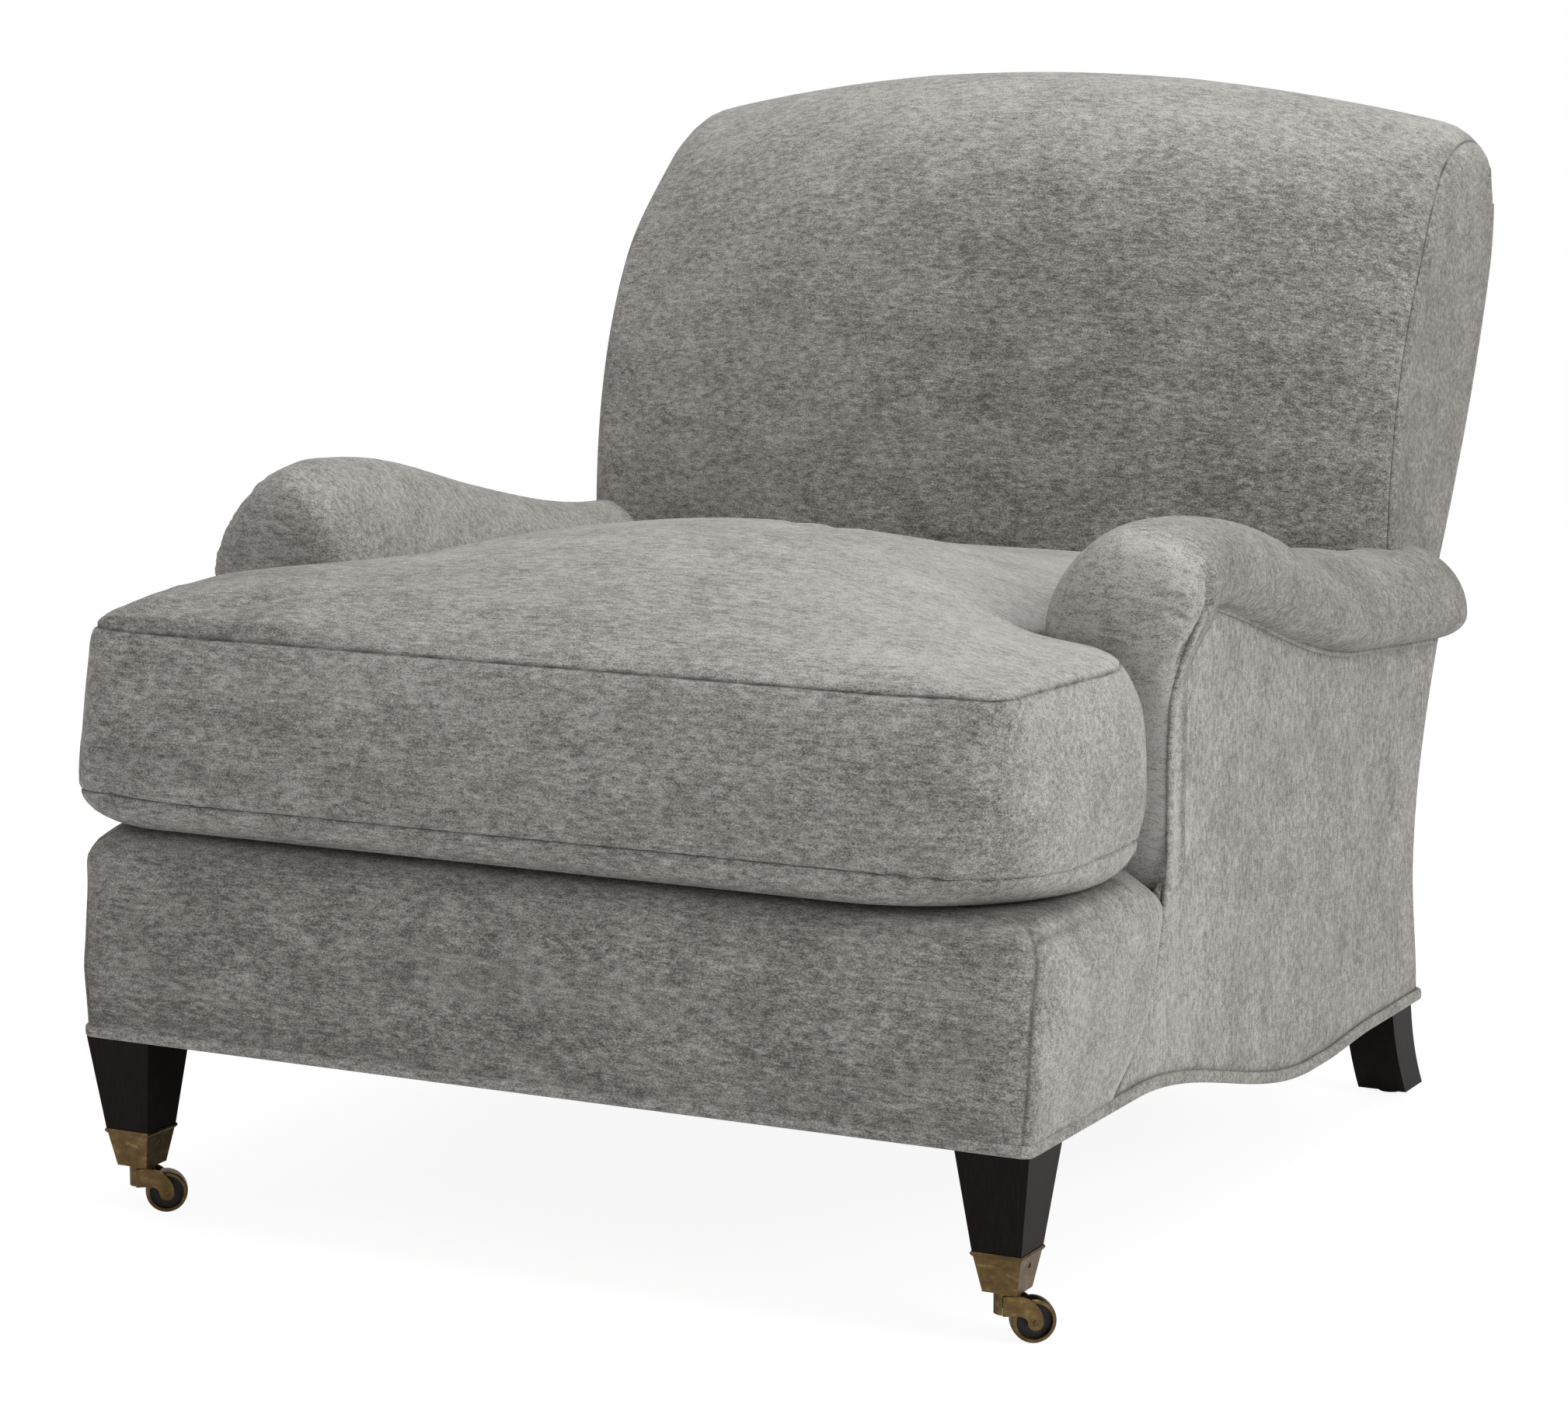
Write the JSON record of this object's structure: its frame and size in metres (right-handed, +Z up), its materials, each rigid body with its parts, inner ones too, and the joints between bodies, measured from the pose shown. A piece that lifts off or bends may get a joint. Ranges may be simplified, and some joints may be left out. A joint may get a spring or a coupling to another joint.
{
  "type": "upholstered armchair",
  "caption": "Low roll-arm club chair in grey plush velvet with a tight crowned back, a loose T-shaped seat cushion, an S-curved base edge, dark tapered legs and brass front casters.",
  "frame": {"origin": "centre of the chair's footprint box at floor level", "axes": "+Z up, the chair faces -Y, +X is on the right of someone who looks at the back from behind the chair's front, so the side seen in the picture is +X"},
  "size_m": [0.838, 1.018, 0.8415],
  "materials": {
    "velvet": "heather grey plush velvet",
    "beech": "raw",
    "espresso_wood": "satin near-black stain",
    "antique_brass": "brushed antique",
    "wheel_core": "matte",
    "spring_steel": "drawn wire",
    "zinc_steel": "zinc plated",
    "webbing": "woven elastic strap",
    "black_glide": "matte",
    "cover_cloth": "spun-bonded cloth",
    "foam": "foam with a fibre wrap",
    "zip_tape": "zip on grey tape"
  },
  "bodies": {
    "frame": {"front_rail": "beech", "rear_rail": "beech", "side_rail_left": "beech", "side_rail_right": "beech", "front_post_left": "beech", "front_post_right": "beech", "rear_leg_left": "espresso_wood", "rear_leg_right": "espresso_wood", "front_leg_left": "espresso_wood", "front_leg_right": "espresso_wood", "back_post_left": "beech", "back_post_right": "beech", "back_top_rail": "beech", "back_lower_rail": "beech", "arm_post_left": "beech", "arm_post_right": "beech", "arm_rail_left": "beech", "arm_rail_right": "beech", "corner_braces": "beech", "seat_springs": "spring_steel", "spring_clips": "zinc_steel", "back_webbing": "webbing", "leg_bolts": "zinc_steel", "rear_glides": "black_glide", "caster_socket_left": "antique_brass", "caster_socket_right": "antique_brass", "socket_screws": "zinc_steel", "caster_pivot_left": "zinc_steel", "caster_pivot_right": "zinc_steel", "front_border": "velvet", "border_side_left": "velvet", "border_side_right": "velvet", "ledge_pad": "velvet", "deck_pad": "velvet", "arm_roll_left": "velvet", "arm_roll_right": "velvet", "inside_arm_left": "velvet", "inside_arm_right": "velvet", "arm_front_left": "velvet", "arm_front_right": "velvet", "outside_arm_left": "velvet", "outside_arm_right": "velvet", "back_pad": "velvet", "back_side_left": "velvet", "back_side_right": "velvet", "outside_back": "velvet", "base_hem": "velvet", "dust_cover": "cover_cloth"},
    "caster_fork_left": {"caster_horn_left": "antique_brass", "caster_axle_left": "antique_brass"},
    "caster_wheel_left": {"caster_rim_left": "antique_brass", "caster_core_left": "wheel_core"},
    "caster_fork_right": {"caster_horn_right": "antique_brass", "caster_axle_right": "antique_brass"},
    "caster_wheel_right": {"caster_rim_right": "antique_brass", "caster_core_right": "wheel_core"},
    "cushion": {"seat_cushion": "velvet", "cushion_core": "foam", "cushion_zip": "zip_tape"}
  },
  "joints": [
    {"name": "caster_left_swivel", "type": "hinge", "parent": "frame", "child": "caster_fork_left", "pos_m": [-0.36, -0.471, 0.035], "axis": [0, 0, 1], "continuous": true},
    {"name": "caster_left_roll", "type": "hinge", "parent": "caster_fork_left", "child": "caster_wheel_left", "pos_m": [-0.34544, -0.46042, 0.016], "axis": [-0.5878, 0.809, 0], "continuous": true},
    {"name": "caster_right_swivel", "type": "hinge", "parent": "frame", "child": "caster_fork_right", "pos_m": [0.36, -0.471, 0.035], "axis": [0, 0, 1], "continuous": true},
    {"name": "caster_right_roll", "type": "hinge", "parent": "caster_fork_right", "child": "caster_wheel_right", "pos_m": [0.37456, -0.46042, 0.016], "axis": [-0.5878, 0.809, 0], "continuous": true},
    {"name": "seat_cushion_lift", "type": "slide", "parent": "frame", "child": "cushion", "axis": [0, -0.5, 0.866], "range_m": [0, 0.35]}
  ]
}
